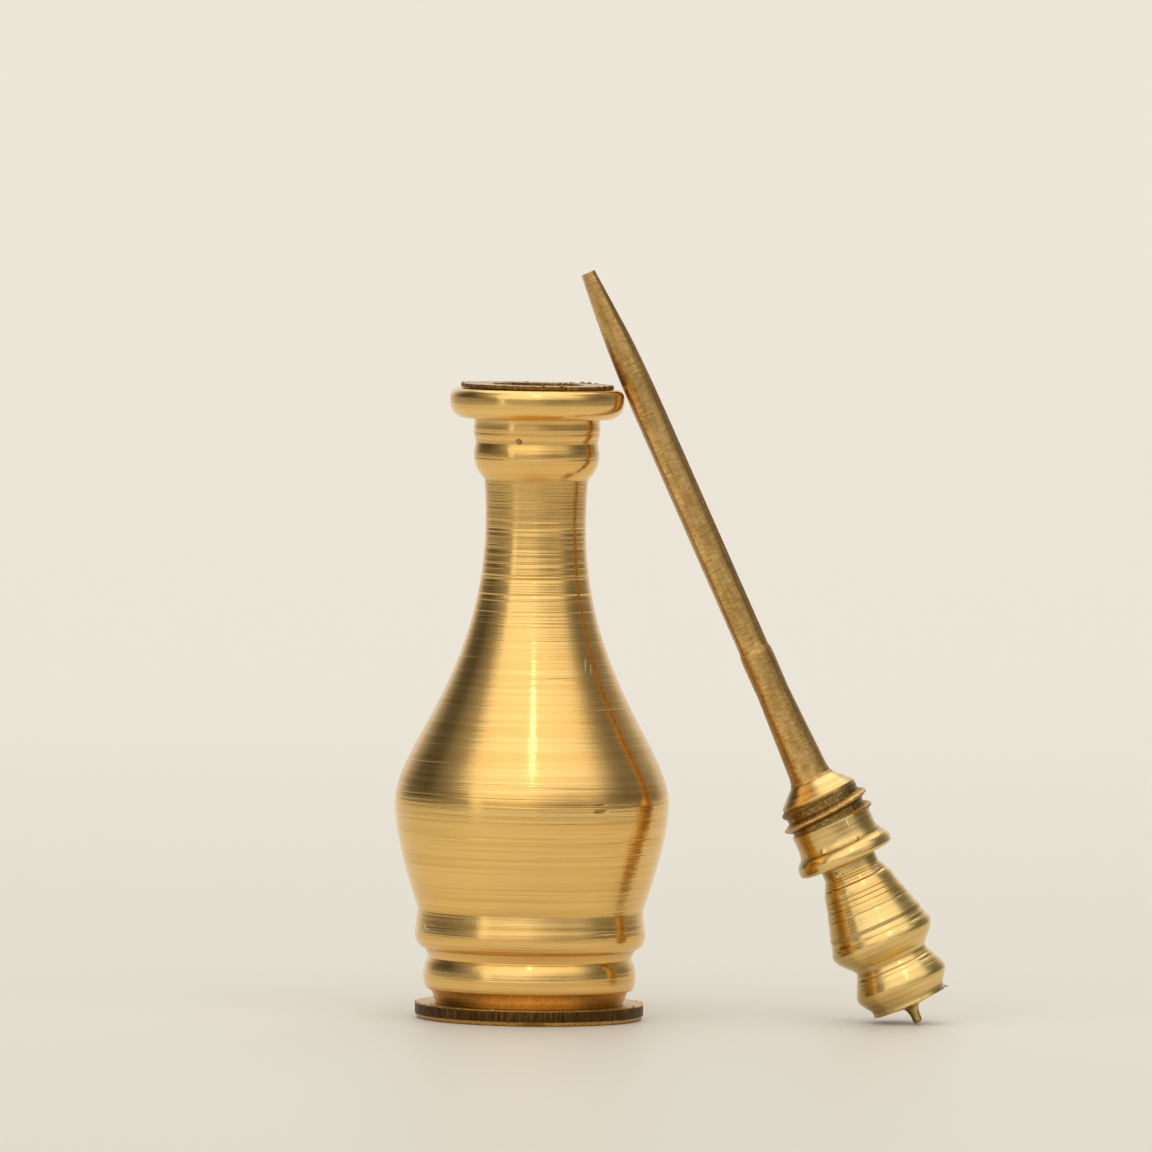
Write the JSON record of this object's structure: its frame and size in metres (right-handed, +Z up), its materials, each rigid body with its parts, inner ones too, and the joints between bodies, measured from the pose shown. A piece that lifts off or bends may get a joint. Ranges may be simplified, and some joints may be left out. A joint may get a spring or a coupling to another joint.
{
  "type": "kohl container",
  "caption": "Turned brass kohl bottle with a threaded mouth, and its screw stopper with a fixed applicator stick taken out and leaning on the rim.",
  "frame": {"origin": "centre of the base disc's underside, on the table", "axes": "+Z up the bottle's axis, +X towards the stopper that stands beside it, so that -Y is the pictured side"},
  "size_m": [0.0525, 0.026, 0.0712],
  "materials": {
    "turned_brass_body": "bright turned, fine lathe lines",
    "raw_disc_brass": "dark raw punched edge, dull faces",
    "raw_ring_brass": "dark raw punched edge, burred",
    "turned_brass_stopper": "bright turned, coarse lathe lines",
    "filed_brass": "hand filed, mottled"
  },
  "bodies": {
    "bottle": {"bottle_body": "turned_brass_body", "base_disc": "raw_disc_brass", "mouth_ring": "raw_ring_brass"},
    "stopper_and_stick": {"stopper": "turned_brass_stopper", "applicator_stick": "filed_brass"}
  },
  "joints": [
    {"name": "stopper_lift", "type": "slide", "parent": "bottle", "child": "stopper_and_stick", "axis": [0, 0, 1], "range_m": [0, 0.07]}
  ]
}
